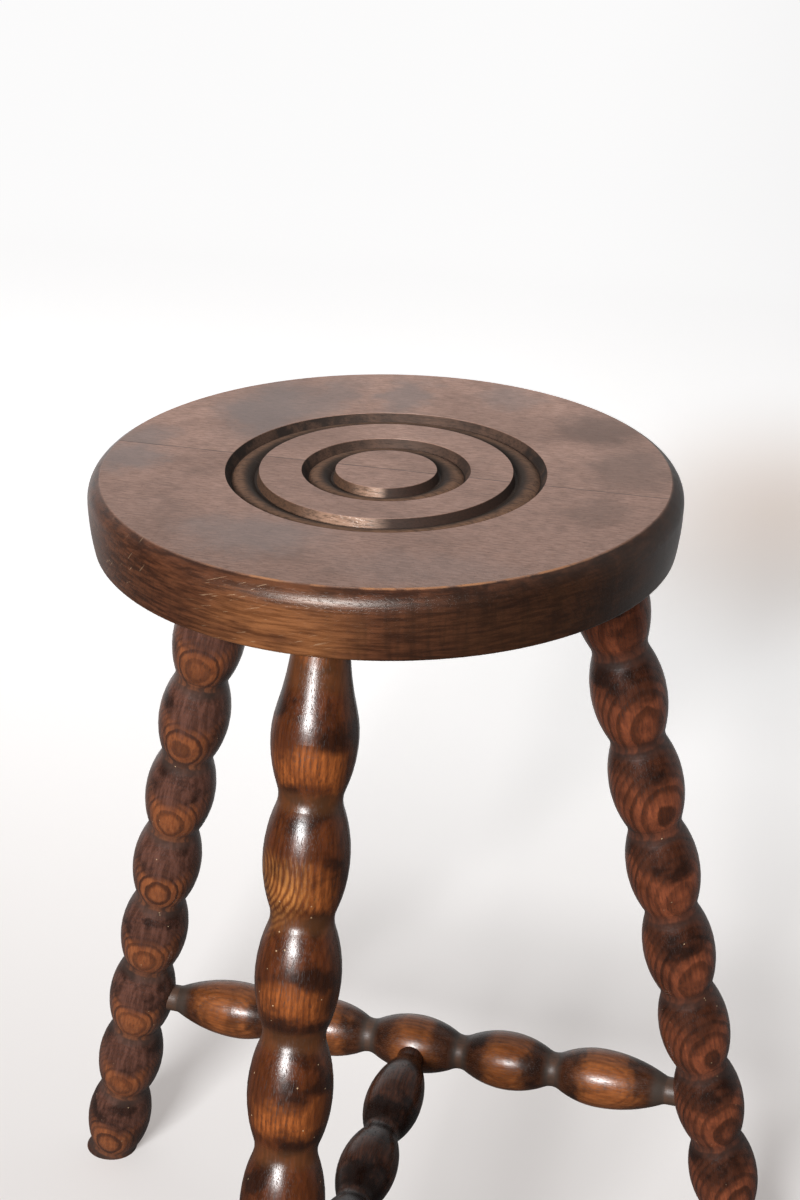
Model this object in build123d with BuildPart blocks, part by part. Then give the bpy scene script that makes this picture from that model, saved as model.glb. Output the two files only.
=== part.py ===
from build123d import *
from math import ceil, cos, radians, sin
import os

# A three-legged stool in turned wood. Its round seat is glued up from two boards and has two
# moulded rings cut in its top. Three splayed legs, turned as rows of bobbins, are let into the
# underside of the seat. A cross stretcher joins the two back legs, and a centre stretcher runs
# from its middle bead to the front leg. All lengths are in millimetres and all angles in degrees.
# +Z is up. The origin is on the floor under the middle of the seat, and -Y is the front.

# Seat
seat_height = 580.0
seat_thickness = 35.0
seat_diameter = 302.0
top_flat_diameter = 288.6
roundover_depth = 10.0
underside_diameter = 297.0
underside_fillet = 1.6

# Rings cut in the top of the seat
ring_diameters = (146.2, 68.8)
ring_width = 17.3
ring_depth = 5.0
ring_bead_drop = 2.6
inner_wall_run = 1.2
inner_quirk_width = 1.3
outer_wall_run = 2.7
outer_quirk_width = 0.4

# Legs: each one's direction round the seat, and its splay from upright
leg_names = ("front_leg", "right_leg", "left_leg")
leg_direction_angles = (-90.0, 30.0, 150.0)
leg_splay_angles = (15.1, 13.3, 15.4)
leg_circle_diameter = 226.0
leg_belly_diameter = 42.3
leg_hollow_diameter = 31.2
leg_top_diameter = 27.0
leg_first_belly = 54.0
leg_bobbin_pitch = 59.5
bobbin_share = 0.85
leg_top_share = 0.27

# Leg tenons, blind in the seat
leg_tenon_diameter = 24.0
leg_tenon_length = 24.0

# Stretchers
bobbins_above_joint = 6
stretcher_belly_diameter = 36.2
stretcher_hollow_diameter = 21.2
stretcher_end_diameter = 17.0
stretcher_end_length = 4.0
stretcher_taper_share = 0.93
stretcher_tenon_length = 20.0
cross_bobbins = 5
cross_pitch = 59.5
centre_bobbins = 4
centre_pitch = 63.5
centre_first_belly = 61.5
centre_belly_diameter = 34.4

# Glue room round a tenon and at the bottom of its mortise, and the chamfer on a tenon's end
glue_gap = 0.1
end_gap = 1.0
tenon_chamfer = 1.0

seat_radius = seat_diameter / 2
underside = seat_height - seat_thickness
leg_belly_radius = leg_belly_diameter / 2


def leg_plane(direction_angle, splay):
    """Plane of a leg's axis: y runs up the leg, and the origin is where it meets the seat."""
    outward = Vector(cos(radians(direction_angle)), sin(radians(direction_angle)), 0)
    up_leg = Vector(0, 0, cos(radians(splay))) - outward * sin(radians(splay))
    across = Vector(0, 0, 1).cross(outward)
    top = outward * (leg_circle_diameter / 2) + Vector(0, 0, underside)
    return Plane(origin=top, x_dir=across, z_dir=across.cross(up_leg))


def rail_plane(start, end):
    """Plane of a stretcher's axis: y runs from start to end, and the origin is at start."""
    along = (end - start).normalized()
    across = Vector(0, 0, 1).cross(along).normalized()
    return Plane(origin=start, x_dir=across, z_dir=across.cross(along))


def s_curve(first, second, share):
    """Two tangent arcs between a crown and a hollow, with the given share to the crown's arc."""
    crown, hollow = max(first, second), min(first, second)
    turn = tuple(c + share * (h - c) for c, h in zip(crown, hollow))
    TangentArc(crown, turn, tangent=(0, hollow[1] - crown[1]))
    TangentArc(hollow, turn, tangent=(0, crown[1] - hollow[1]))


def bobbins(positions, belly_radius, hollow_radius):
    """Outline of a row of bobbins, from the first crown to the last."""
    for here, after in zip(positions, positions[1:]):
        hollow = (hollow_radius, (here + after) / 2)
        s_curve((belly_radius, here), hollow, bobbin_share)
        s_curve((belly_radius, after), hollow, bobbin_share)


def drill(mouth, direction, tenon_diameter, tenon_length):
    """Cut a round mortise for a tenon in the part being built, and clear its mouth."""
    with BuildSketch(Plane(origin=mouth, z_dir=direction)) as hole:
        Circle(tenon_diameter / 2 + glue_gap)
    extrude(hole.sketch, amount=tenon_length + end_gap, both=True, mode=Mode.SUBTRACT)


leg_planes = {
    name: leg_plane(direction_angle, splay)
    for name, direction_angle, splay in zip(leg_names, leg_direction_angles, leg_splay_angles)
}
leg_splays = dict(zip(leg_names, leg_splay_angles))

# The stretchers are let into the same bobbin of every leg, and into each other
joint_depth = leg_first_belly + bobbins_above_joint * leg_bobbin_pitch
joint_points = {name: plane.origin - plane.y_dir * joint_depth for name, plane in leg_planes.items()}
cross_middle = (joint_points["left_leg"] + joint_points["right_leg"]) / 2
cross_plane = rail_plane(joint_points["left_leg"], joint_points["right_leg"])
centre_plane = rail_plane(cross_middle, joint_points["front_leg"])
rail_directions = {
    "left_leg": cross_plane.y_dir,
    "right_leg": -cross_plane.y_dir,
    "front_leg": -centre_plane.y_dir,
}

os.makedirs("parts", exist_ok=True)


# Seat boards: half rounds of one section, glued edge to edge along X
board_planes = {
    "seat_board_back": Plane.XZ,
    "seat_board_front": Plane(origin=(0, 0, 0), x_dir=(-1, 0, 0), z_dir=(0, 1, 0)),
}
for name, section_plane in board_planes.items():
    with BuildPart() as board:
        with BuildSketch(section_plane) as section:
            with BuildLine() as outline:
                rim = (seat_radius, seat_height - roundover_depth)
                Line((0, underside), (0, seat_height))
                Line((0, seat_height), (top_flat_diameter / 2, seat_height))
                TangentArc(rim, (top_flat_diameter / 2, seat_height), tangent=(0, 1))
                TangentArc(rim, (underside_diameter / 2, underside), tangent=(0, -1))
                Line((underside_diameter / 2, underside), (0, underside))
            make_face()
            for ring_diameter in ring_diameters:
                inner = (ring_diameter - ring_width) / 2
                outer = (ring_diameter + ring_width) / 2
                bottom = seat_height - ring_depth
                inner_foot = inner + inner_wall_run
                outer_foot = outer - outer_wall_run
                bead_start = (inner_foot + inner_quirk_width, bottom)
                bead_end = (outer_foot - outer_quirk_width, bottom)
                bead_crown = ((bead_start[0] + bead_end[0]) / 2, seat_height - ring_bead_drop)
                with BuildLine() as moulding:
                    Polyline(bead_start, (inner_foot, bottom), (inner, seat_height))
                    Line((inner, seat_height), (outer, seat_height))
                    Polyline((outer, seat_height), (outer_foot, bottom), bead_end)
                    ThreePointArc(bead_start, bead_crown, bead_end)
                make_face(mode=Mode.SUBTRACT)
        revolve(axis=Axis.Z, revolution_arc=180)
        lower_rim = board.edges().filter_by(GeomType.CIRCLE).group_by(Axis.Z)[0]
        fillet(lower_rim.sort_by(SortBy.RADIUS)[-1], radius=underside_fillet)
        for plane in leg_planes.values():
            drill(plane.origin, plane.y_dir, leg_tenon_diameter, leg_tenon_length)
    board.part.label = name
    export_step(board.part, f"parts/{name}.step")


# Legs: one turned pattern, cut off level under the seat and at the floor
for name, plane in leg_planes.items():
    leg_length = underside / cos(radians(leg_splays[name]))
    below_floor = leg_length + leg_belly_diameter
    above_seat = leg_top_diameter
    bobbin_count = ceil((below_floor - leg_first_belly) / leg_bobbin_pitch) + 1
    crowns = [-leg_first_belly - leg_bobbin_pitch * index for index in range(bobbin_count)]
    with BuildPart() as leg:
        with BuildSketch(plane) as section:
            with BuildLine() as outline:
                top = leg_top_diameter / 2
                Polyline((leg_belly_radius, crowns[-1]), (0, crowns[-1]), (0, above_seat))
                Polyline((0, above_seat), (top, above_seat), (top, 0))
                s_curve((top, 0), (leg_belly_radius, crowns[0]), leg_top_share)
                bobbins(crowns, leg_belly_radius, leg_hollow_diameter / 2)
            make_face()
        revolve(axis=Axis(plane.origin, plane.y_dir))
        split(bisect_by=Plane.XY.offset(underside), keep=Keep.BOTTOM)
        split(bisect_by=Plane.XY, keep=Keep.TOP)
        with BuildSketch(Plane(origin=plane.origin - plane.y_dir * top, z_dir=plane.y_dir)):
            Circle(leg_tenon_diameter / 2)
        extrude(amount=top + leg_tenon_length)
        chamfer(leg.faces().sort_by(Axis.Z)[-1].edges(), length=tenon_chamfer)
        mouth = joint_points[name] + rail_directions[name] * leg_belly_radius
        drill(mouth, rail_directions[name], stretcher_end_diameter, stretcher_tenon_length)
    leg.part.label = name
    export_step(leg.part, f"parts/{name}.step")


# Cross stretcher: bobbins set out from its middle, with a long taper to each end
cross_length = (joint_points["right_leg"] - joint_points["left_leg"]).length
end_radius = stretcher_end_diameter / 2
cross_radius = stretcher_belly_diameter / 2
with BuildPart() as cross_stretcher:
    with BuildSketch(cross_plane) as section:
        with BuildLine() as outline:
            start = leg_belly_radius - stretcher_tenon_length
            neck = leg_belly_radius + stretcher_end_length
            first = (cross_length - (cross_bobbins - 1) * cross_pitch) / 2
            crowns = [first + cross_pitch * index for index in range(cross_bobbins)]
            Polyline((end_radius, neck), (end_radius, start), (0, start))
            Line((0, start), (0, cross_length - start))
            Polyline((0, cross_length - start), (end_radius, cross_length - start),
                     (end_radius, cross_length - neck))
            s_curve((end_radius, neck), (cross_radius, crowns[0]), stretcher_taper_share)
            s_curve((end_radius, cross_length - neck), (cross_radius, crowns[-1]),
                    stretcher_taper_share)
            bobbins(crowns, cross_radius, stretcher_hollow_diameter / 2)
        make_face()
    revolve(axis=Axis(cross_plane.origin, cross_plane.y_dir))
    ends = cross_stretcher.faces().filter_by(GeomType.PLANE)
    chamfer(ends.edges(), length=tenon_chamfer)
    mouth = cross_middle + centre_plane.y_dir * cross_radius
    drill(mouth, centre_plane.y_dir, stretcher_end_diameter, stretcher_tenon_length)
cross_stretcher.part.label = "cross_stretcher"
export_step(cross_stretcher.part, "parts/cross_stretcher.step")


# Centre stretcher: bobbins set out from the cross stretcher, cut to length at the front leg
centre_length = (joint_points["front_leg"] - cross_middle).length
centre_radius = centre_belly_diameter / 2
with BuildPart() as centre_stretcher:
    with BuildSketch(centre_plane) as section:
        with BuildLine() as outline:
            start = cross_radius - stretcher_tenon_length
            start_neck = cross_radius + stretcher_end_length
            finish = centre_length - leg_belly_radius + stretcher_tenon_length
            finish_neck = centre_length - leg_belly_radius - stretcher_end_length
            crowns = [centre_first_belly + centre_pitch * index for index in range(centre_bobbins)]
            Polyline((end_radius, start_neck), (end_radius, start), (0, start))
            Line((0, start), (0, finish))
            Polyline((0, finish), (end_radius, finish), (end_radius, finish_neck))
            s_curve((end_radius, start_neck), (centre_radius, crowns[0]), stretcher_taper_share)
            s_curve((end_radius, finish_neck), (centre_radius, crowns[-1]), stretcher_taper_share)
            bobbins(crowns, centre_radius, stretcher_hollow_diameter / 2)
        make_face()
    revolve(axis=Axis(centre_plane.origin, centre_plane.y_dir))
    ends = centre_stretcher.faces().filter_by(GeomType.PLANE)
    chamfer(ends.edges(), length=tenon_chamfer)
centre_stretcher.part.label = "centre_stretcher"
export_step(centre_stretcher.part, "parts/centre_stretcher.step")
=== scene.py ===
from dataclasses import dataclass
from math import cos, pi, radians, sin, tan
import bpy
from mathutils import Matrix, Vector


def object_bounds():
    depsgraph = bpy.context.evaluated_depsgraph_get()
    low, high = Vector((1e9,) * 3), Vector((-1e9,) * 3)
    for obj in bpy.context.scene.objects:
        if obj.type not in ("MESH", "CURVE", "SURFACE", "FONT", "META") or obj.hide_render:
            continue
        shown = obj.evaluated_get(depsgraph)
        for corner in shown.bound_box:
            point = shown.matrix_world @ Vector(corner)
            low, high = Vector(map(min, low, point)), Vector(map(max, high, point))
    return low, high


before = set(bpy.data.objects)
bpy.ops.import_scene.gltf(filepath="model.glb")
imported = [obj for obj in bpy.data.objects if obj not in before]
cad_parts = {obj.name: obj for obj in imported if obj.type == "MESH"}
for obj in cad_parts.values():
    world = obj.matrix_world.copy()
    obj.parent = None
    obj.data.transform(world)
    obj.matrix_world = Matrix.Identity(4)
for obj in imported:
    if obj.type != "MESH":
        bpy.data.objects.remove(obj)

from types import SimpleNamespace

import bmesh
import bpy
from mathutils import Matrix, Vector

cad_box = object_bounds()

# ---- Seat ----
# The seat is two boards of a close-grained hardwood glued edge to edge and turned as one disc, with a
# flat top, two moulded rings and a rounded rim. It was stained brown and waxed. Water and hands have
# left grey patches on the top, a pale line along the front arris and scratches low on the rim.

seat_top = cad_box[1][2]
seat_arris_radius = 0.1443


def new_finish(name):
    """A new finish, with its node tree and the shader that its tones go into."""
    finish = bpy.data.materials.new(name)
    finish.use_nodes = True
    return finish, finish.node_tree, finish.node_tree.nodes["Principled BSDF"]


def put(tree, kind, settings=None, **inputs):
    """Add a node. A setting is a property of it, and an input is a number, a tone or another node's output.
    An input goes by its name, or by i and its number where two share a name."""
    node = tree.nodes.new(kind)
    for key, value in (settings or {}).items():
        setattr(node, key, value)
    for key, value in inputs.items():
        socket = node.inputs[int(key[1:])] if key[1:].isdigit() else node.inputs[key.replace("_", " ")]
        if isinstance(value, bpy.types.NodeSocket):
            tree.links.new(value, socket)
        else:
            socket.default_value = value
    return node


def sums(tree, operation, first, second=0.0, third=0.0):
    """One step of arithmetic."""
    return put(tree, "ShaderNodeMath", {"operation": operation}, i0=first, i1=second, i2=third).outputs[0]


def times(tree, *values):
    """Multiply values together, from left to right."""
    product = values[0]
    for value in values[1:]:
        product = sums(tree, "MULTIPLY", product, value)
    return product


def share_of(tree, value, share, base):
    """Take a share of a value and add it to a base."""
    return sums(tree, "MULTIPLY_ADD", value, share, base)


def from_axis(tree, x, y):
    """The distance from an axis, by the two distances across it."""
    return sums(tree, "SQRT", sums(tree, "ADD", times(tree, x, x), times(tree, y, y)))


def vectors(tree, operation, first, second=(0, 0, 0), third=(0, 0, 0)):
    """One step of arithmetic on vectors. A length, a distance or a dot product comes out as a number."""
    node = put(tree, "ShaderNodeVectorMath", {"operation": operation}, i0=first, i1=second, i2=third)
    return node.outputs["Value" if operation in ("LENGTH", "DISTANCE", "DOT_PRODUCT") else "Vector"]


def between(tree, value, low, high, start=0.0, end=1.0, soft=True):
    """Follow a value from low to high, and give start to end."""
    kind = {"interpolation_type": "SMOOTHSTEP" if soft else "LINEAR"}
    return put(tree, "ShaderNodeMapRange", kind, Value=value, From_Min=low, From_Max=high, To_Min=start,
               To_Max=end).outputs[0]


def tone(tree, amount, first, second):
    """Go from the first tone to the second by an amount."""
    node = put(tree, "ShaderNodeMix", {"data_type": "RGBA"}, i0=amount)
    for socket, value in ((node.inputs[6], first), (node.inputs[7], second)):
        if isinstance(value, bpy.types.NodeSocket):
            tree.links.new(value, socket)
        else:
            socket.default_value = (*value, 1.0)
    return node.outputs[2]


def lightened(tree, colour, amount):
    """Make a tone lighter or darker by an amount that changes from place to place."""
    return put(tree, "ShaderNodeVectorMath", {"operation": "SCALE"}, i0=colour, Scale=amount).outputs[0]


def shade_of(colour, share):
    """The same colour, lighter or darker all over."""
    return tuple(share * part for part in colour)


def figure(tree, place, stretch, detail, roughness=0.5, shift=(0, 0, 0)):
    """A noise in the wood. A larger stretch along an axis packs it closer along that axis."""
    drawn = put(tree, "ShaderNodeMapping", Vector=place, Location=shift, Scale=stretch).outputs[0]
    return put(tree, "ShaderNodeTexNoise", Vector=drawn, Scale=1.0, Detail=detail,
               Roughness=roughness).outputs[0]


def read_board(tree, seed):
    """Where a point lies on the seat, how its face looks, and the noises that several looks share."""
    at = SimpleNamespace(seed=seed)
    at.place = put(tree, "ShaderNodeTexCoord").outputs["Object"]
    at.x, at.y, at.z = put(tree, "ShaderNodeSeparateXYZ", Vector=at.place).outputs
    at.radius = from_axis(tree, at.x, at.y)
    normal = put(tree, "ShaderNodeNewGeometry").outputs["Normal"]
    at.facing_x, _, at.facing_z = put(tree, "ShaderNodeSeparateXYZ", Vector=normal).outputs
    at.end_grain = between(tree, sums(tree, "ABSOLUTE", at.facing_x), 0.35, 0.95)
    at.on_rim = between(tree, at.radius, seat_arris_radius - 0.0004, seat_arris_radius + 0.0012)

    at.fibres = figure(tree, at.place, (130, 800, 1200), 5.0, 0.7, shift=(seed, 3, 0))
    at.cloud = figure(tree, at.place, (13, 17, 17), 4.0, 0.55, shift=(seed, 0, 5))
    at.smudge = figure(tree, at.place, (80, 80, 80), 4.0, 0.6, shift=(seed, 9, 2))
    flecks = figure(tree, at.place, (360, 1500, 1500), 2.0, shift=(seed, 7, 0))
    at.flecks = between(tree, flecks, 0.56, 0.68)

    # Close growth rings: faint lines along the top and front, dark streaks in the end grain
    wander = figure(tree, at.place, (6, 26, 26), 3.0, shift=(seed, 0, 0))
    growth = sums(tree, "ADD", times(tree, at.y, 300.0), times(tree, at.z, 95.0))
    growth = sums(tree, "ADD", growth, times(tree, wander, 5.0))
    at.growth_line = between(tree, sums(tree, "PINGPONG", growth, 0.5), 0.34, 0.5)
    return at


def board_wood(tree, at, brown, pale):
    """The stained wood of a board, darker in its growth rings and flecks, with painted light making it
    lighter at the back left.
    """
    dark = shade_of(brown, 0.42)
    colour = tone(tree, between(tree, at.fibres, 0.38, 0.62), brown, pale)
    colour = tone(tree, times(tree, at.growth_line, share_of(tree, at.end_grain, 0.45, 0.05)), colour, dark)
    colour = tone(tree, times(tree, at.flecks, 0.42), colour, dark)
    colour = tone(tree, times(tree, between(tree, at.cloud, 0.40, 0.66), 0.34), colour, dark)
    colour = tone(tree, times(tree, between(tree, at.smudge, 0.45, 0.70), 0.26), colour, dark)
    # Painted light: the top is made lighter toward the back and the left, standing in for the sheen from the
    # wall behind and the nearer window
    painted_light_lift = between(tree, at.y, -0.13, 0.13, 0.92, 1.36)
    return lightened(tree, colour, sums(tree, "ADD", painted_light_lift, times(tree, at.x, -0.35)))


def water_marks(tree, at, colour, patches):
    """Grey water patches and darker stains on the flat top, each with a ragged edge."""
    raggedness = 0.05
    ragged = put(tree, "ShaderNodeTexNoise", Vector=at.place, Scale=40.0, Detail=6.0, Roughness=0.7)
    pushed = vectors(tree, "MULTIPLY_ADD", ragged.outputs["Color"], (raggedness, raggedness, 0), at.place)
    on_top = between(tree, at.facing_z, 0.75, 0.97)
    for patch_x, patch_y, reach_x, reach_y, strength, tint in patches:
        centre = (patch_x + raggedness / 2, patch_y + raggedness / 2, seat_top)
        from_centre = vectors(tree, "SUBTRACT", pushed, centre)
        flat = vectors(tree, "MULTIPLY", from_centre, (1 / reach_x, 1 / reach_y, 0))
        stain = between(tree, vectors(tree, "LENGTH", flat), 1.3, 0.35)
        colour = tone(tree, times(tree, stain, strength, on_top), colour, tint)
    return colour


# The two turned rings are one moulding, cut twice: distances across it start at its inner edge
ring_inner_radius = 0.02575
ring_spacing = 0.0387
ring_outer_reach = 0.09
rings_end_below = seat_top - 0.012
inner_wall = (0.0015, 0.0011)
bead_inner_slope = (0.005, 0.0100)
bead_outer_edge = (0.0142, 0.0132)
outer_wall = (0.0142, 0.0150)
bead_dark = (0.022, 0.011, 0.006)
bead_crest_brown = (0.175, 0.090, 0.052)
inner_wall_left = (0.080, 0.038, 0.020)
inner_wall_right = (0.030, 0.013, 0.008)
inner_wall_painted_glint = (0.32, 0.190, 0.130)
outer_wall_brown = (0.095, 0.048, 0.030)
ring_dirt_and_shade = (0.013, 0.007, 0.005)
ring_streak = (0.014, 0.007, 0.004)


def ring_moulding(tree, at):
    """The rings' tone: an inner wall whose polished part holds a painted glint, a bead brown on its crest and
    dark by the inner wall, and a dirty outer wall with painted shade at its sides. Gives its tone, the part
    of the board that it holds for, and the polished part with its painted glint."""
    across = sums(tree, "MODULO", sums(tree, "SUBTRACT", at.radius, ring_inner_radius), ring_spacing)
    in_ring = times(tree, between(tree, at.z, seat_top, seat_top - 0.0004),
                    sums(tree, "LESS_THAN", at.radius, ring_outer_reach),
                    sums(tree, "GREATER_THAN", at.z, rings_end_below))
    # The bead is brown on its crest and dark in the hollow by the inner wall
    crest = times(tree, between(tree, across, *bead_inner_slope), between(tree, across, *bead_outer_edge),
                  between(tree, at.smudge, 0.30, 0.60, 0.65, 1.0))
    wax = tone(tree, crest, bead_dark, bead_crest_brown)

    # Sideways goes from -1 at the left of the inner wall to 1 at its right
    on_inner_wall = between(tree, across, *inner_wall)
    sideways = sums(tree, "DIVIDE", at.x, at.radius)
    wall = tone(tree, between(tree, sideways, -0.4, 0.3), inner_wall_left, inner_wall_right)
    wax = tone(tree, on_inner_wall, wax, wall)
    # Painted highlight: near the middle of the inner wall its polished part is smoother, and is also painted
    # pale as a glint of the window
    polish_and_glint = times(tree, between(tree, sideways, -0.50, -0.12), between(tree, sideways, 0.32, 0.08),
                     on_inner_wall)
    wax = tone(tree, polish_and_glint, wax, inner_wall_painted_glint)

    on_outer_wall = between(tree, across, *outer_wall)
    # Dirt on the outer wall in patches, and painted shade: it is full at the wall's sides and thinned at its
    # back middle, where the window glints
    dirt_and_shade = times(tree, on_outer_wall, between(tree, at.smudge, 0.42, 0.60, 1.0, 0.35),
                 between(tree, sums(tree, "ABSOLUTE", at.x), 0.0, 0.06, 0.35, 1.0))
    wax = tone(tree, on_outer_wall, wax, outer_wall_brown)
    wax = tone(tree, dirt_and_shade, wax, ring_dirt_and_shade)
    wax = tone(tree, times(tree, between(tree, at.fibres, 0.45, 0.62), 0.6), wax, ring_streak)
    return wax, in_ring, polish_and_glint


rim_dark = (0.032, 0.0105, 0.0052)
rim_brown = (0.096, 0.032, 0.0145)
rim_streak = (0.014, 0.007, 0.004)
rim_broad_streak = (0.016, 0.0060, 0.0035)
rim_black = (0.012, 0.006, 0.004)
rim_wear_dark = (0.165, 0.057, 0.018)
rim_wear_pale = (0.30, 0.117, 0.042)
rim_wear_place = (-0.010, -0.150, 0.548)


def worn_rim(tree, at):
    """The rim, which took the stain darker than the top and is worn to a warm brown in front."""
    rim_fibres = figure(tree, at.place, (45, 120, 620), 5.0, 0.62, shift=(at.seed, 2, 1))
    colour = tone(tree, between(tree, rim_fibres, 0.36, 0.66), rim_dark, rim_brown)
    streak = figure(tree, at.place, (300, 300, 16), 4.0, 0.6, shift=(at.seed, 1, 4))
    streaked = share_of(tree, between(tree, at.facing_x, 0.0, 0.6), 0.5, 0.2)
    colour = tone(tree, times(tree, between(tree, streak, 0.50, 0.72), streaked), colour, rim_streak)
    broad = figure(tree, at.place, (85, 85, 9), 3.0, 0.6, shift=(at.seed, 5, 4))
    broad = times(tree, between(tree, broad, 0.46, 0.62), between(tree, at.x, -0.02, 0.05, 0.10, 0.75))
    colour = tone(tree, broad, colour, rim_broad_streak)
    grown = times(tree, at.growth_line, share_of(tree, at.end_grain, 0.5, 0.12))
    colour = tone(tree, grown, colour, rim_black)
    colour = tone(tree, times(tree, between(tree, at.facing_x, 0.10, 0.60), 0.75), colour, rim_black)

    rubbed = figure(tree, at.place, (22, 22, 60), 4.0, 0.62, shift=(at.seed, 6, 0))
    worn = between(tree, vectors(tree, "DISTANCE", at.place, rim_wear_place), 0.056, 0.012)
    below_arris = between(tree, at.z, seat_top - 0.001, seat_top - 0.014, 0.35, 1.0)
    warmth = times(tree, between(tree, rubbed, 0.34, 0.62, 0.25, 1.0), share_of(tree, worn, 0.66, 0.08),
                   below_arris)
    warm_brown = tone(tree, between(tree, rim_fibres, 0.34, 0.64), rim_wear_dark, rim_wear_pale)
    return tone(tree, warmth, colour, warm_brown)


def pale_arris(tree, at):
    """How far the edge between top and rim is rubbed pale: in spots along the front, more on its right."""
    from_edge = sums(tree, "ABSOLUTE", sums(tree, "SUBTRACT", at.radius, seat_arris_radius + 0.0003))
    return times(tree, between(tree, from_edge, 0.0010, 0.0002), between(tree, at.smudge, 0.40, 0.6),
                 between(tree, at.x, -0.065, -0.015, 0.10, 1.0), between(tree, at.y, -0.04, -0.12))


scratch_groups = (
    # How far the scratches lean, the middle of the group, and how far it reaches
    (0.30, (-0.022, -0.149, 0.557), 0.043),
    (0.95, (-0.105, -0.105, 0.560), 0.040),
)


def rim_scratches(tree, at):
    """Two groups of fine pale scratches low on the rim, one in front and one at the front left."""
    scratches = []
    for lean, middle, reach in scratch_groups:
        tilted = put(tree, "ShaderNodeMapping", Vector=at.place, Rotation=(0.0, lean, 0.2)).outputs[0]
        lines = between(tree, figure(tree, tilted, (75, 75, 1500), 2.0, shift=(at.seed, 0, lean)), 0.67, 0.72)
        near = between(tree, vectors(tree, "DISTANCE", at.place, middle), reach, 0.4 * reach)
        scratches.append(times(tree, lines, near))
    return times(tree, sums(tree, "MAXIMUM", *scratches), at.on_rim)


arris_pale = (0.33, 0.15, 0.07)
scratch_pale = (0.46, 0.30, 0.18)
glue_brown = (0.045, 0.026, 0.020)
bare_wood = (0.16, 0.09, 0.055)
wax_sheen = (1.0, 0.92, 0.86, 1.0)


def board_finish(name, seed, brown, pale, patches):
    """The stain and wax on one board: long grain on the top and front, end grain at the two ends."""
    finish, tree, shader = new_finish(name)
    at = read_board(tree, seed)
    colour = water_marks(tree, at, board_wood(tree, at, brown, pale), patches)
    # The rings' tone holds a painted glint on the inner wall and painted shade on the outer wall
    ring_colour, in_ring, polish_and_glint = ring_moulding(tree, at)
    colour = tone(tree, in_ring, colour, ring_colour)
    colour = tone(tree, at.on_rim, colour, worn_rim(tree, at))
    colour = tone(tree, pale_arris(tree, at), colour, arris_pale)
    scratched = rim_scratches(tree, at)
    colour = tone(tree, times(tree, scratched, 0.7), colour, scratch_pale)
    glue_line = between(tree, sums(tree, "ABSOLUTE", at.y), 0.00060, 0.0002)
    colour = tone(tree, times(tree, glue_line, 0.75), colour, glue_brown)
    # The underside is bare of wax
    under = between(tree, at.facing_z, -0.6, -0.95)
    colour = tone(tree, times(tree, under, 0.6), colour, bare_wood)
    tree.links.new(colour, shader.inputs["Base Color"])
    shader.inputs["Specular Tint"].default_value = wax_sheen

    rough = share_of(tree, at.cloud, 0.14, 0.36)
    rough = share_of(tree, at.on_rim, -0.09, rough)
    rough = share_of(tree, in_ring, share_of(tree, polish_and_glint, -0.46, 0.28), rough)
    rough = share_of(tree, at.flecks, 0.08, rough)
    rough = share_of(tree, under, 0.25, rough)
    tree.links.new(rough, shader.inputs["Roughness"])
    height = sums(tree, "SUBTRACT", times(tree, at.fibres, 0.8), times(tree, at.flecks, 0.5))
    height = sums(tree, "ADD", height, times(tree, at.cloud, 0.8))
    height = sums(tree, "SUBTRACT", height, times(tree, scratched, 0.8))
    bump = put(tree, "ShaderNodeBump", Height=height, Strength=0.25, Distance=0.0004).outputs[0]
    tree.links.new(bump, shader.inputs["Normal"])
    return finish


water_grey = (0.185, 0.150, 0.142)
stain_brown = (0.13, 0.075, 0.056)
back_patches = (
    # The patch's middle, its reach along x and along y, its strength and its tint
    (-0.084, 0.068, 0.026, 0.050, 0.75, water_grey),
    (-0.054, 0.095, 0.016, 0.040, 0.55, water_grey),
    (-0.018, 0.108, 0.016, 0.032, 0.60, water_grey),
    (0.038, 0.118, 0.018, 0.022, 0.45, water_grey),
    (0.094, 0.086, 0.022, 0.030, 0.75, stain_brown),
    (0.122, 0.034, 0.026, 0.040, 0.62, stain_brown),
    (-0.136, 0.004, 0.022, 0.024, 0.60, water_grey),
)
front_patches = (
    # The same for the front board
    (-0.134, -0.020, 0.022, 0.026, 0.65, water_grey),
    (-0.040, -0.098, 0.040, 0.026, 0.55, water_grey),
    (0.115, -0.024, 0.016, 0.022, 0.50, stain_brown),
    (0.050, -0.115, 0.050, 0.020, 0.25, water_grey),
    (-0.085, -0.085, 0.030, 0.014, 0.25, stain_brown),
)
back_brown = (0.238, 0.132, 0.096)
back_pale = (0.366, 0.219, 0.170)
back_finish = board_finish("back board, stained and waxed", 1.7, back_brown, back_pale, back_patches)
front_brown = (0.240, 0.133, 0.097)
front_pale = (0.366, 0.217, 0.168)
front_finish = board_finish("front board, stained and waxed", 8.3, front_brown, front_pale, front_patches)
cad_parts["seat_board_back"].material_slots[0].material = back_finish
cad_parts["seat_board_front"].material_slots[0].material = front_finish


# ---- Legs ----
# Three legs of a coarse ring-porous hardwood, each turned between centres into nine bobbins, stained
# dark walnut and varnished. The grain runs out of each leg at a small angle, so the growth rings show as
# ovals on the low side of every bobbin, and the stain has gone darkest into its upper slope.

leg_top_radius = 0.113
leg_top_height = 0.545
leg_first_belly = 0.054
leg_pitch = 0.0595
leg_belly_radius = 0.02115
leg_hollow_radius = 0.0156
fibre_slope = 0.19


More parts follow.
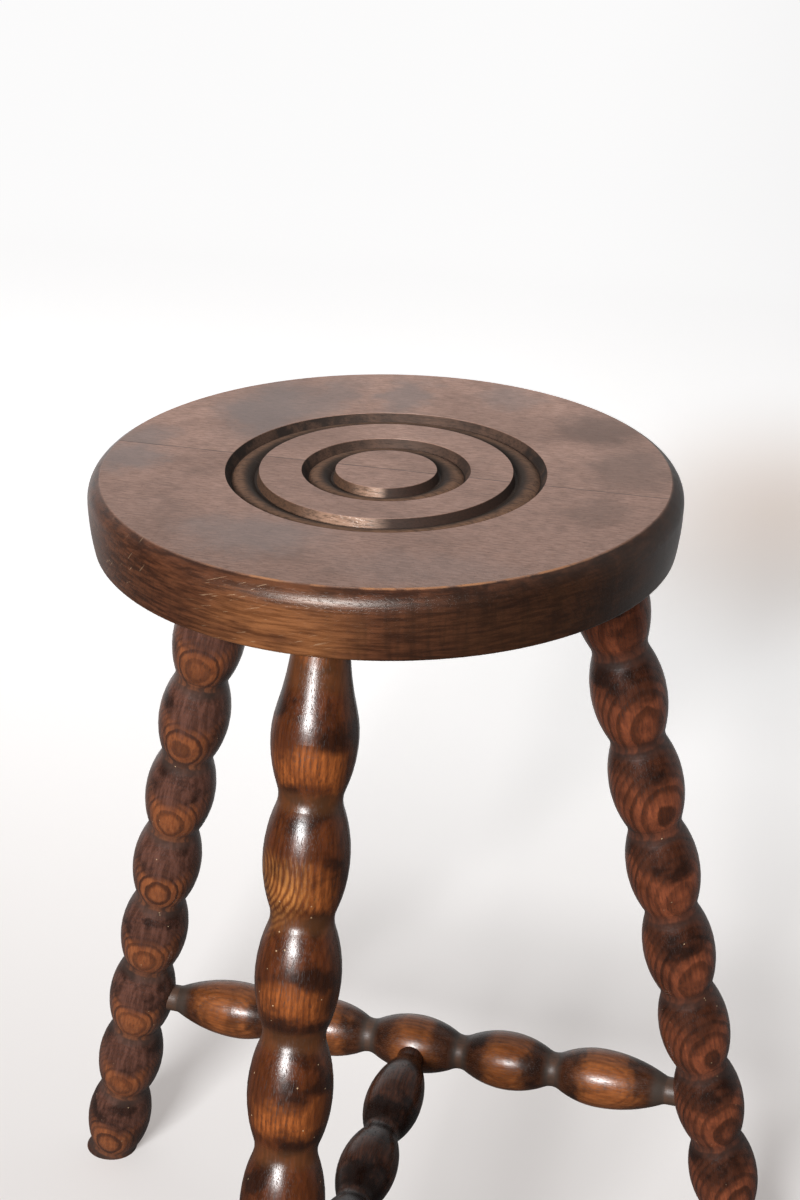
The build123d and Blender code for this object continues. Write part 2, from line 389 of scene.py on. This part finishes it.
@dataclass
class TurnedWood:
    """How the wood of one turned piece grew, and how it took its stain and varnish."""

    seed: float  # sets the place of every noise in the wood
    tones: tuple  # pale wood, middle wood, deep stain, growth rings, dust and a painted grey sheen in the hollows
    hollow: float  # radius of the piece in the hollows between its bobbins
    belly: float  # radius of the piece at the middle of a bobbin
    run_out: float  # angle between the growth rings and the piece's axis, in degrees
    pith: float  # distance from the axis to the pith
    ring_gap: float  # distance from one growth ring to the next
    ring_wave: float = 0.0022  # how far the rings wander
    ring_depth: float = 0.9  # how dark they are
    stain_span: tuple = (0.10, 0.24)  # where the deep stain starts and is full, by the slope of the fibres
    stain_cover: float = 0.93  # how much the full stain hides
    mottle: float = 0.5  # how far clouds break the stain up
    streaks: float = 0.10  # how far streaks do
    side_span: tuple = (0.86, 0.62)  # where the side stain starts and is full, by how square on the rings lie
    side_stain: float = 0.7  # how deep it is
    blotches: float = 0.35  # how deep the blotches are
    palest: float | None = None  # how far below each belly the wood is palest, as a share of the pitch
    knot: tuple | None = None  # place of a knot, from the start of the axis
    dust_and_sheen: float = 0.45  # how much dust and painted grey sheen lie in the hollows
    speck_rarity: float = 0.92  # share of the possible specks that are left out
    roughness: float = 0.23  # of the varnish
    hollow_roughness: float = 0.12  # added to it in the hollows
    polish: float = 0.5  # how strongly the varnish mirrors the room


def stirred(tree, value, noise, share):
    """Stir a value by a share of a noise, up and down alike."""
    return sums(tree, "ADD", value, share_of(tree, noise, share, -0.5 * share))


def read_turning(tree, start, up, side, wood):
    """Where a point lies in a turned piece, with z along its axis, and the noises that its looks share."""
    turn = Matrix((side, up.cross(side), up)).transposed().to_euler()
    on_object = put(tree, "ShaderNodeTexCoord").outputs["Object"]
    at = SimpleNamespace()
    at.place = put(tree, "ShaderNodeMapping", {"vector_type": "TEXTURE"}, Vector=on_object, Location=start,
                   Rotation=turn).outputs[0]
    at.x, at.y, at.z = put(tree, "ShaderNodeSeparateXYZ", Vector=at.place).outputs
    at.normal = put(tree, "ShaderNodeNewGeometry").outputs["Normal"]
    at.slow = figure(tree, at.place, (34, 34, 13), 2.0, 0.45, shift=(wood.seed, 0, 0))
    at.quick = figure(tree, at.place, (170, 170, 40), 2.0, shift=(0, wood.seed, 0))
    at.fibres = figure(tree, at.place, (620, 620, 45), 4.0, 0.62, shift=(wood.seed, 2, 0))
    at.streaks = figure(tree, at.place, (380, 380, 26), 4.0, 0.6, shift=(wood.seed, 5, 0))
    at.cloud = figure(tree, at.place, (48, 48, 60), 4.0, 0.62, shift=(wood.seed, 4, 1))
    return at


def growth_rings(tree, at, wood):
    """Rings round a pith at one side of the axis, wavy along the grain and each of its own depth."""
    reach = from_axis(tree, sums(tree, "ADD", at.x, wood.pith), at.y)
    reach = share_of(tree, at.z, -tan(radians(wood.run_out)), reach)
    reach = share_of(tree, at.slow, wood.ring_wave, reach)
    reach = share_of(tree, at.quick, 0.25 * wood.ring_gap, reach)
    count = share_of(tree, reach, 1 / wood.ring_gap, wood.seed)
    part = sums(tree, "FRACT", count)
    rise = between(tree, part, 0.0, 0.14)
    fall = between(tree, part, 0.30, 0.62, 1.0, 0.0)
    own_depth = put(tree, "ShaderNodeTexWhiteNoise", {"noise_dimensions": "1D"},
                    W=sums(tree, "FLOOR", count)).outputs[0]
    return times(tree, rise, fall, share_of(tree, own_depth, 0.6, 0.4))


def deep_stain(tree, at, wood, fibre_way, side):
    """How far the stain has gone in: deep where fibres come to the surface, less so round the sides of the
    growth rings, and here and there in blotches."""
    if wood.palest is None:
        cut = sums(tree, "ABSOLUTE", vectors(tree, "DOT_PRODUCT", at.normal, fibre_way))
    else:
        # Dark on the upper slope of each bobbin and palest just under its belly
        wander = 0.40
        start = -leg_first_belly / leg_pitch - wood.palest - 0.5 * wander
        bobbins = share_of(tree, at.slow, wander, share_of(tree, at.z, -1 / leg_pitch, start))
        cut = share_of(tree, sums(tree, "COSINE", times(tree, bobbins, 2 * pi)), -0.5, 0.5)
    cut = stirred(tree, cut, at.cloud, wood.mottle)
    cut = stirred(tree, cut, at.streaks, wood.streaks)
    cut = between(tree, cut, *wood.stain_span)

    square_on = sums(tree, "ABSOLUTE", vectors(tree, "DOT_PRODUCT", at.normal, side))
    square_on = stirred(tree, square_on, at.slow, 0.4)
    round_side = times(tree, between(tree, square_on, *wood.side_span), wood.side_stain)
    bands = figure(tree, at.place, (16, 16, 90), 3.0, 0.55, shift=(0, 1, wood.seed))
    patchy = share_of(tree, bands, 0.5, times(tree, at.cloud, 0.5))
    blotches = times(tree, between(tree, patchy, 0.42, 0.62), wood.blotches)
    return sums(tree, "MAXIMUM", cut, sums(tree, "MAXIMUM", round_side, blotches))


knot_brown = (0.135, 0.042, 0.012)
knot_gold = (0.42, 0.165, 0.044)


def golden_knot(tree, at, knot):
    """A knot beside the second bobbin turns the grain into golden curves: how near it is, and its tone."""
    reach = share_of(tree, at.quick, 0.0035, vectors(tree, "DISTANCE", at.place, knot))
    curves = between(tree, sums(tree, "PINGPONG", reach, 0.0014), 0.0001, 0.0012)
    near = between(tree, share_of(tree, at.slow, 0.020, reach), 0.052, 0.040)
    below = between(tree, share_of(tree, at.cloud, 0.02, at.z), -0.096, -0.106)
    near = times(tree, near, below, between(tree, at.fibres, 0.30, 0.60, 0.25, 1.0))
    return near, tone(tree, curves, knot_brown, knot_gold)


def pale_specks(tree, at, rarity):
    """Small pale specks from the second bobbin of a leg down. A leg lies below its start. A stretcher lies
    beyond its start and gets none."""
    specks = put(tree, "ShaderNodeTexVoronoi", {"voronoi_dimensions": "3D"}, Vector=at.place, Scale=260.0)
    chance = put(tree, "ShaderNodeSeparateColor", Color=specks.outputs["Color"]).outputs[0]
    return times(tree, between(tree, specks.outputs["Distance"], 0.13, 0.07),
                 sums(tree, "GREATER_THAN", chance, rarity), between(tree, at.z, -0.10, -0.15))


soot_black = (0.0085, 0.0040, 0.0030)
speck_pale = (0.70, 0.50, 0.30)


def turned_finish(name, start, along, ring_side, lean, wood):
    """Stained and varnished wood turned on an axis, from its start and along it. ring_side faces the growth
    rings square on, and lean is the side that the fibres come out on."""
    finish, tree, shader = new_finish(name)
    up = Vector(along).normalized()
    side = (Vector(ring_side) - Vector(ring_side).dot(up) * up).normalized()
    fibre_way = (up + Vector(lean) * fibre_slope).normalized()
    at = read_turning(tree, start, up, side, wood)
    growth_line = growth_rings(tree, at, wood)
    stain = deep_stain(tree, at, wood, fibre_way, side)
    pores = between(tree, figure(tree, at.place, (2100, 2100, 230), 1.0, shift=(3, wood.seed, 0)), 0.56, 0.66)
    pores = times(tree, pores, share_of(tree, growth_line, 0.5, 0.5))
    in_hollow = between(tree, from_axis(tree, at.x, at.y), wood.hollow + 0.35 * (wood.belly - wood.hollow),
                        wood.hollow)

    pale, middle, dark, ring_tone, dust_and_sheen = wood.tones
    colour = tone(tree, between(tree, at.fibres, 0.32, 0.68), middle, pale)
    colour = tone(tree, times(tree, growth_line, wood.ring_depth), colour, ring_tone)
    colour = tone(tree, times(tree, pores, 0.75), colour, shade_of(ring_tone, 0.5))
    if wood.knot is not None:
        near_knot, knot_tone = golden_knot(tree, at, wood.knot)
        colour = tone(tree, near_knot, colour, knot_tone)
        stain = times(tree, stain, share_of(tree, near_knot, -0.45, 1.0))
    stained = tone(tree, between(tree, at.streaks, 0.40, 0.64), shade_of(dark, 0.85), shade_of(dark, 1.7))
    colour = tone(tree, times(tree, stain, wood.stain_cover), colour, stained)
    soot = between(tree, figure(tree, at.place, (44, 44, 55), 4.0, 0.55, shift=(wood.seed, 8, 3)), 0.47, 0.63)
    colour = tone(tree, times(tree, soot, stain, 0.75), colour, soot_black)
    # Dust in the hollows, its grey partly a painted sheen of the white room
    colour = tone(tree, times(tree, in_hollow, wood.dust_and_sheen), colour, dust_and_sheen)
    specks = pale_specks(tree, at, wood.speck_rarity)
    colour = tone(tree, times(tree, specks, 0.6), colour, speck_pale)
    tree.links.new(colour, shader.inputs["Base Color"])
    shader.inputs["Specular IOR Level"].default_value = wood.polish

    rough = share_of(tree, at.cloud, 0.06, wood.roughness)
    rough = share_of(tree, in_hollow, wood.hollow_roughness, rough)
    rough = share_of(tree, pores, 0.35, rough)
    tree.links.new(rough, shader.inputs["Roughness"])
    lathe = figure(tree, at.place, (30, 30, 1300), 3.0, 0.55, shift=(0, 0, wood.seed))
    pits = between(tree, figure(tree, at.place, (1500, 1500, 800), 1.0, shift=(wood.seed, 3, 0)), 0.58, 0.68)
    height = share_of(tree, pits, -0.2, times(tree, at.fibres, 0.15))
    height = share_of(tree, pores, -0.75, height)
    height = share_of(tree, lathe, 0.22, height)
    height = share_of(tree, growth_line, -0.06, height)
    bump = put(tree, "ShaderNodeBump", Height=height, Strength=0.13, Distance=0.0004).outputs[0]
    tree.links.new(bump, shader.inputs["Normal"])
    return finish


def level_way(angle):
    """A level direction, by its angle round the seat in degrees."""
    return Vector((cos(radians(angle)), sin(radians(angle)), 0))


leg_woods = {
    "front_leg": TurnedWood(
        seed=2.3, hollow=leg_hollow_radius, belly=leg_belly_radius, run_out=5.0, pith=0.060, ring_gap=0.0027,
        ring_wave=0.0100, ring_depth=0.50, stain_span=(-0.12, 0.36), stain_cover=0.84, mottle=1.0,
        streaks=0.25, side_span=(0.45, 1.0), side_stain=0.9, blotches=0.40, palest=0.18,
        knot=(-0.027, -0.008, -0.118), dust_and_sheen=0.30, speck_rarity=0.80, roughness=0.225, hollow_roughness=0.03,
        tones=((0.34, 0.098, 0.024), (0.175, 0.047, 0.012), (0.040, 0.0108, 0.0045), (0.032, 0.009, 0.004),
               (0.150, 0.060, 0.022))),
    "right_leg": TurnedWood(
        seed=6.1, hollow=leg_hollow_radius, belly=leg_belly_radius, run_out=12.0, pith=0.028, ring_gap=0.0029,
        ring_wave=0.0040, ring_depth=0.80, stain_span=(0.10, 0.34), stain_cover=0.86, side_stain=0.45,
        blotches=0.45,
        tones=((0.29, 0.081, 0.034), (0.180, 0.050, 0.024), (0.027, 0.0100, 0.0058), (0.024, 0.009, 0.005),
               (0.050, 0.028, 0.022))),
    "left_leg": TurnedWood(
        seed=4.6, hollow=leg_hollow_radius, belly=leg_belly_radius, run_out=10.0, pith=0.0175,
        ring_gap=0.0013, ring_wave=0.0024, ring_depth=0.92, stain_span=(0.09, 0.27), mottle=0.22,
        streaks=0.04, side_stain=0.75, blotches=0.30, hollow_roughness=0.06,
        tones=((0.33, 0.108, 0.040), (0.23, 0.068, 0.025), (0.069, 0.0300, 0.0218), (0.044, 0.016, 0.010),
               (0.070, 0.045, 0.036))),
}
leg_layout = {
    # Direction round the seat, splay, way that faces the growth rings, way that the fibres come out
    "front_leg": (-90.0, 15.1, 5.0, -76.0),
    "right_leg": (30.0, 13.3, -54.0, -66.0),
    "left_leg": (150.0, 15.4, -84.0, -84.0),
}
for leg, (direction, splay, ring_angle, lean_angle) in leg_layout.items():
    outward = level_way(direction)
    leg_top = outward * leg_top_radius + Vector((0, 0, leg_top_height))
    along = Vector((0, 0, cos(radians(splay)))) - outward * sin(radians(splay))
    varnish = turned_finish(leg.replace("_", " ") + ", varnished walnut stain", leg_top, along,
                            level_way(ring_angle), level_way(lean_angle), leg_woods[leg])
    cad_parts[leg].material_slots[0].material = varnish


# ---- Stretchers ----
# Two thinner rails turned in longer bobbins. The cross stretcher is tenoned into the two back legs, and
# the centre stretcher into its middle bobbin and the front leg. Both have the legs' stain and varnish;
# the cross stretcher is rubbed brown on its bobbins, and the centre one is nearly black.

rail_hollow_radius = 0.0106
no_lean = (0, 0, 0)
cross_start = Vector((-0.1924, 0.1111, 0.1488))
cross_end = Vector((0.1797, 0.1038, 0.1450))
cross_wood = TurnedWood(
    seed=3.4, hollow=rail_hollow_radius, belly=0.0181, run_out=2.0, pith=0.020, ring_gap=0.0016,
    ring_depth=0.35, stain_span=(0.10, 0.34), side_stain=0.35, blotches=0.45, dust_and_sheen=0.8, hollow_roughness=0.20,
    tones=((0.32, 0.104, 0.030), (0.205, 0.060, 0.017), (0.034, 0.012, 0.006), (0.060, 0.020, 0.008),
           (0.050, 0.037, 0.029)))
cross_finish = turned_finish("cross stretcher, rubbed walnut stain", cross_start, cross_end - cross_start,
                             (0.25, -1.0, 0.35), no_lean, cross_wood)
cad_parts["cross_stretcher"].material_slots[0].material = cross_finish

centre_start = (cross_start + cross_end) / 2
centre_end = Vector((0.0, -0.2201, 0.1482))
centre_wood = TurnedWood(
    seed=7.9, hollow=rail_hollow_radius, belly=0.0172, run_out=3.0, pith=0.030, ring_gap=0.0018,
    ring_depth=0.4, stain_span=(0.02, 0.30), mottle=1.0, side_stain=0.3, blotches=0.5, roughness=0.20,
    hollow_roughness=0.03, polish=0.28,
    tones=((0.145, 0.048, 0.023), (0.060, 0.020, 0.010), (0.0065, 0.0030, 0.0022), (0.008, 0.0035, 0.0026),
           (0.016, 0.010, 0.008)))
centre_finish = turned_finish("centre stretcher, dark walnut stain", centre_start, centre_end - centre_start,
                              (1.0, 0.0, 0.4), no_lean, centre_wood)
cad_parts["centre_stretcher"].material_slots[0].material = centre_finish


# ---- Room ----
# A pale floor that curves up into a pale wall, lit by one soft window in front of the stool, a little to
# its left, and by the light of a white room.

sweep_side = 4.0
sweep_near = -4.0
sweep_curve_start = 2.2
sweep_curve_radius = 1.0
sweep_height = 4.0
room_white = 0.97
paint_white = (1.0, 0.99, 0.985)
painted_shadow_tone = (0.71, 0.61, 0.545)
glow_warm = (1.0, 0.90, 0.85)
glow_white = (1.0, 0.995, 0.995)


def sweep_mesh():
    """The floor's and wall's outline on the left, drawn out to the right."""
    room = bmesh.new()
    outline = [(sweep_near, 0.0), (sweep_curve_start, 0.0)]
    for angle in range(10, 91, 10):
        outline.append((sweep_curve_start + sweep_curve_radius * sin(radians(angle)),
                        sweep_curve_radius - sweep_curve_radius * cos(radians(angle))))
    outline.append((sweep_curve_start + sweep_curve_radius, sweep_height))
    sweep = [room.verts.new((-sweep_side, y, z)) for y, z in outline]
    strip = [room.edges.new(pair) for pair in zip(sweep, sweep[1:])]
    wide = bmesh.ops.extrude_edge_only(room, edges=strip)
    drawn_out = [part for part in wide["geom"] if isinstance(part, bmesh.types.BMVert)]
    bmesh.ops.translate(room, vec=(2 * sweep_side, 0, 0), verts=drawn_out)
    bmesh.ops.recalc_face_normals(room, faces=room.faces)
    for face in room.faces:
        face.smooth = True
    mesh = bpy.data.meshes.new("studio_sweep")
    room.to_mesh(mesh)
    room.free()
    return mesh


def paint_tone(tree, at):
    """The paint's tone, with a warm shadow painted on the floor where the seat's shadow falls."""
    middle_x = 0.10
    middle_y = 1.42
    reach_x = 0.24
    reach_y = 0.42
    from_middle = put(tree, "ShaderNodeCombineXYZ", X=share_of(tree, at.x, 1 / reach_x, -middle_x / reach_x),
                      Y=share_of(tree, at.y, 1 / reach_y, -middle_y / reach_y)).outputs[0]
    # Painted shadow: a warm darker patch behind the stool, deepest at its middle
    shade = between(tree, vectors(tree, "LENGTH", from_middle), 1.15, 0.0)
    return tone(tree, shade, paint_white, painted_shadow_tone)


def studio_paint():
    """The sweep's paint, part lit by the window and part glowing, so that a white room shows round the
    stool and in its varnish."""
    finish, tree, unused_shader = new_finish("pale studio paint")
    tree.nodes.remove(unused_shader)
    at = SimpleNamespace()
    on_object = put(tree, "ShaderNodeTexCoord").outputs["Object"]
    at.x, at.y, at.z = put(tree, "ShaderNodeSeparateXYZ", Vector=on_object).outputs
    rays = put(tree, "ShaderNodeLightPath").outputs

    # Lit paint: paler to the eye than in the light that it throws back on the stool, and painted paler
    # further back, where the window's light is weaker
    bounce = between(tree, at.y, -0.1, 0.9, 0.045, 0.30)
    pale = between(tree, at.y, 0.0, 1.6, 0.86, 1.94, soft=False)
    seen = times(tree, rays["Is Camera Ray"], sums(tree, "SUBTRACT", pale, bounce))
    paint = lightened(tree, paint_tone(tree, at), sums(tree, "ADD", seen, bounce))
    lit = put(tree, "ShaderNodeBsdfDiffuse", Color=paint).outputs[0]

    # Glow: warmer and weaker near the stool, white on the far wall and at the sides
    far = sums(tree, "MAXIMUM", between(tree, sums(tree, "ABSOLUTE", at.x), 1.2, 3.2),
               between(tree, at.y, -0.9, -3.0))
    whiteness = sums(tree, "MAXIMUM", between(tree, at.y, 0.0, 1.2), between(tree, far, 0.0, 0.3))
    glow_tone = tone(tree, whiteness, glow_warm, glow_white)
    fall_off = times(tree, between(tree, at.y, 0.0, 1.0, 0.70, 1.0),
                     between(tree, at.x, 0.45, -0.45, 0.90, 1.0))
    strength = times(tree, sums(tree, "MAXIMUM", fall_off, far), room_white)
    glow = put(tree, "ShaderNodeEmission", Color=glow_tone, Strength=strength).outputs[0]

    # How much of the glow the camera sees, and how much is mirrored in the varnish
    faced = sums(tree, "ADD", between(tree, at.y, 1.2, 2.6, 0.16, 1.0),
                 between(tree, at.y, 0.2, 1.1, 0.24, 0.0))
    faced = times(tree, rays["Is Camera Ray"], sums(tree, "MAXIMUM", faced, far))
    mirrored = times(tree, sums(tree, "MAXIMUM", rays["Is Glossy Ray"], rays["Is Transmission Ray"]),
                     between(tree, at.y, 0.2, 1.6, 0.04, 0.95), between(tree, at.x, -0.2, 0.6, 1.0, 0.24),
                     between(tree, at.z, 1.9, 3.0, 1.0, 0.2))
    glowing = sums(tree, "MAXIMUM", faced, mirrored)
    mixed = put(tree, "ShaderNodeMixShader", i0=glowing, i1=lit, i2=glow).outputs[0]
    tree.links.new(mixed, tree.nodes["Material Output"].inputs["Surface"])
    return finish


room_mesh = sweep_mesh()
room_mesh.materials.append(studio_paint())
studio_sweep = bpy.data.objects.new("studio_sweep", room_mesh)
bpy.context.scene.collection.objects.link(studio_sweep)

# The window: a flat soft light turned to face the stool
window_azimuth = radians(-6.0)
window_elevation = radians(25.0)
window_distance = 4.0
window_aim = Vector((0, 0, 0.36))
window_light = bpy.data.lights.new("window", "AREA")
window_light.shape = "RECTANGLE"
window_light.size = 1.3
window_light.size_y = 0.95
window_light.energy = 232.0
window_way = Vector((sin(window_azimuth) * cos(window_elevation),
                     -cos(window_azimuth) * cos(window_elevation),
                     sin(window_elevation)))
window = bpy.data.objects.new("window", window_light)
window.location = window_aim + window_way * window_distance
window.rotation_euler = window_way.to_track_quat("Z", "Y").to_euler()
bpy.context.scene.collection.objects.link(window)

# The white room's own light: from above, weaker in the varnish than on the wood, and from behind
world = bpy.data.worlds.new("white room")
bpy.context.scene.world = world
world.use_nodes = True
sky_tree = world.node_tree
sky_way = put(sky_tree, "ShaderNodeTexCoord").outputs["Generated"]
sky = put(sky_tree, "ShaderNodeSeparateXYZ", Vector=sky_way).outputs
rays = put(sky_tree, "ShaderNodeLightPath").outputs
above = times(sky_tree, between(sky_tree, sky[2], 0.1, 1.0, 0.02, 0.42),
              between(sky_tree, rays["Is Glossy Ray"], 0.0, 1.0, 1.0, 0.25))
behind = between(sky_tree, sky[1], -0.2, 0.8, 0.0, 0.5)
seen = times(sky_tree, rays["Is Camera Ray"], room_white)
strength = sums(sky_tree, "MAXIMUM", sums(sky_tree, "ADD", above, behind), seen)
backdrop = sky_tree.nodes["Background"]
sky_tree.links.new(strength, backdrop.inputs["Strength"])
backdrop.inputs["Color"].default_value = (*paint_white, 1.0)

# The camera stands in front of the stool, a little to its right, and looks down on the seat
camera = bpy.data.cameras.new("camera")
camera.lens = 66.375
camera_place = bpy.data.objects.new("camera", camera)
camera_place.location = (0.27043, -1.00927, 0.99656)
camera_place.rotation_euler = (radians(64.8719), radians(-0.5041), radians(14.8182))
bpy.context.scene.collection.objects.link(camera_place)
bpy.context.scene.camera = camera_place
bpy.context.scene.view_settings.view_transform = "Standard"
